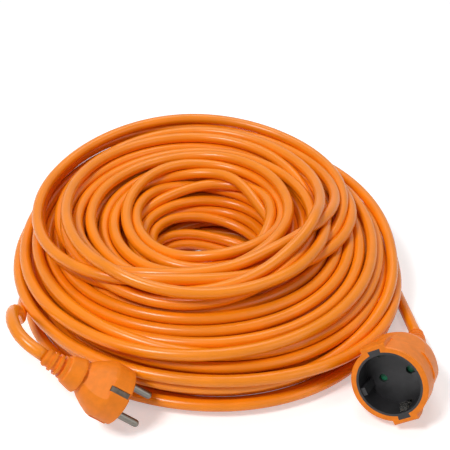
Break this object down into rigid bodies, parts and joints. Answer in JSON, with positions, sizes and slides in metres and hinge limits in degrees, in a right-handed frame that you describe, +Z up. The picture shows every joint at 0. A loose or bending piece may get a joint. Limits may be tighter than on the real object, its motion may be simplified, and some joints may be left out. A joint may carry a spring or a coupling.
{
  "type": "extension cord",
  "caption": "Coiled orange flexible extension cord with a moulded earthed plug and a moulded cord-end socket that has a pin shutter.",
  "frame": {"origin": "middle of the coil on the floor it lies on", "axes": "+Z up out of the coil's hole, +X towards the side where the socket's lead leaves, +Y away from plug and socket"},
  "size_m": [0.2887, 0.305, 0.0828],
  "materials": {
    "cord_sheath": "satin",
    "moulded_pvc": "satin",
    "black_plastic": "matte",
    "green_plastic": "satin",
    "nickel_plate": "satin",
    "spring_steel": "satin",
    "bare_brass": "satin",
    "brown_insulation": "satin",
    "blue_insulation": "satin",
    "earth_insulation": "satin"
  },
  "bodies": {
    "cord_set": {"plug_body": "moulded_pvc", "plug_strain_relief": "moulded_pvc", "plug_carrier": "black_plastic", "plug_line_pin": "nickel_plate", "plug_neutral_pin": "nickel_plate", "plug_earth_strip": "nickel_plate", "plug_crimps": "bare_brass", "plug_line_core": "brown_insulation", "plug_neutral_core": "blue_insulation", "plug_earth_core": "earth_insulation", "plug_cord_end": "cord_sheath", "plug_lead": "cord_sheath", "coil_winding": "cord_sheath", "coil_core": "cord_sheath", "socket_lead": "cord_sheath", "socket_housing": "moulded_pvc", "socket_strain_relief": "moulded_pvc", "socket_insert": "black_plastic", "socket_back_cover": "black_plastic", "socket_line_contact": "nickel_plate", "socket_neutral_contact": "nickel_plate", "socket_earth_bracket": "nickel_plate", "shutter_spring": "spring_steel", "socket_crimps": "bare_brass", "socket_line_core": "brown_insulation", "socket_neutral_core": "blue_insulation", "socket_earth_core": "earth_insulation", "socket_cord_end": "cord_sheath"},
    "pin_shutter": {"shutter": "green_plastic"}
  },
  "joints": [
    {"name": "shutter_turn", "type": "hinge", "parent": "cord_set", "child": "pin_shutter", "pos_m": [0.11889, -0.12316, 0.02494], "axis": [-0.4289, -0.8603, 0.2756], "range_deg": [0, 40], "stiffness_Nm_per_rad": 0.01, "deforming": ["shutter_spring"]}
  ]
}
